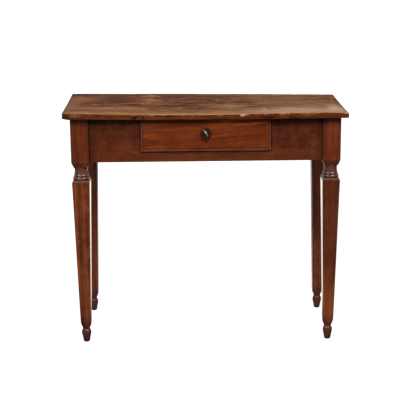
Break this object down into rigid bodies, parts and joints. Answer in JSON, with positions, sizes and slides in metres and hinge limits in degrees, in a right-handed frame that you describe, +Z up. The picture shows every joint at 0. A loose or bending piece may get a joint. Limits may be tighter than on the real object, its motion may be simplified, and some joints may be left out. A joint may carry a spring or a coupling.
{
  "type": "tavern table",
  "caption": "Small stained wood table with a plank top, a lipped drawer with lock and key in the apron, and square tapered legs with turned necks and bulb feet.",
  "frame": {"origin": "on the floor, below the middle of the table top", "axes": "+X along the table towards the right end seen from the drawer side, +Y towards the back, +Z up"},
  "size_m": [0.916, 0.4213, 0.78],
  "materials": {
    "stained_wood": "dark red-brown stain under an old, uneven polish",
    "worn_top_wood": "worn grey-brown with dark stains and pale rubbed edges",
    "plain_wood": "bare planed softwood, darkened with age",
    "dark_iron": "forged iron with a dark skin",
    "aged_brass": "brass with a dark brown-green patina",
    "key_steel": "steel rubbed bright by hands"
  },
  "bodies": {
    "table": {"front_left_leg": "stained_wood", "front_right_leg": "stained_wood", "rear_left_leg": "stained_wood", "rear_right_leg": "stained_wood", "front_apron": "stained_wood", "rear_apron": "stained_wood", "left_apron": "stained_wood", "right_apron": "stained_wood", "top_front_plank": "worn_top_wood", "top_rear_plank": "worn_top_wood", "top_dowels": "plain_wood", "left_drawer_runner": "plain_wood", "right_drawer_runner": "plain_wood", "left_drawer_guide": "plain_wood", "right_drawer_guide": "plain_wood", "front_glue_blocks": "plain_wood", "rear_glue_blocks": "plain_wood", "left_glue_blocks": "plain_wood", "right_glue_blocks": "plain_wood", "guide_nails": "dark_iron"},
    "drawer": {"drawer_front": "stained_wood", "drawer_left_side": "plain_wood", "drawer_right_side": "plain_wood", "drawer_back": "plain_wood", "drawer_bottom": "plain_wood", "drawer_bottom_nails": "dark_iron", "lock_plate": "dark_iron", "lock_cap": "dark_iron", "lock_spring": "dark_iron", "lock_pin": "dark_iron", "lock_screws": "dark_iron", "escutcheon": "aged_brass", "escutcheon_pins": "aged_brass"},
    "bolt": {"lock_bolt": "dark_iron"},
    "key": {"key": "key_steel"}
  },
  "joints": [
    {"name": "drawer_slide", "type": "slide", "parent": "table", "child": "drawer", "axis": [0, -1, 0], "range_m": [0, 0.25]},
    {"name": "key_turn", "type": "hinge", "parent": "drawer", "child": "key", "pos_m": [0, -0.1873, 0.717], "axis": [0, -1, 0], "range_deg": [-30, 150]},
    {"name": "bolt_throw", "type": "slide", "parent": "drawer", "child": "bolt", "axis": [0, 0, 1], "range_m": [-0.00136, 0.00683]}
  ],
  "couplings": [
    {"joint": "key_turn", "follows": "bolt_throw", "rad_per_m": 383.14}
  ]
}
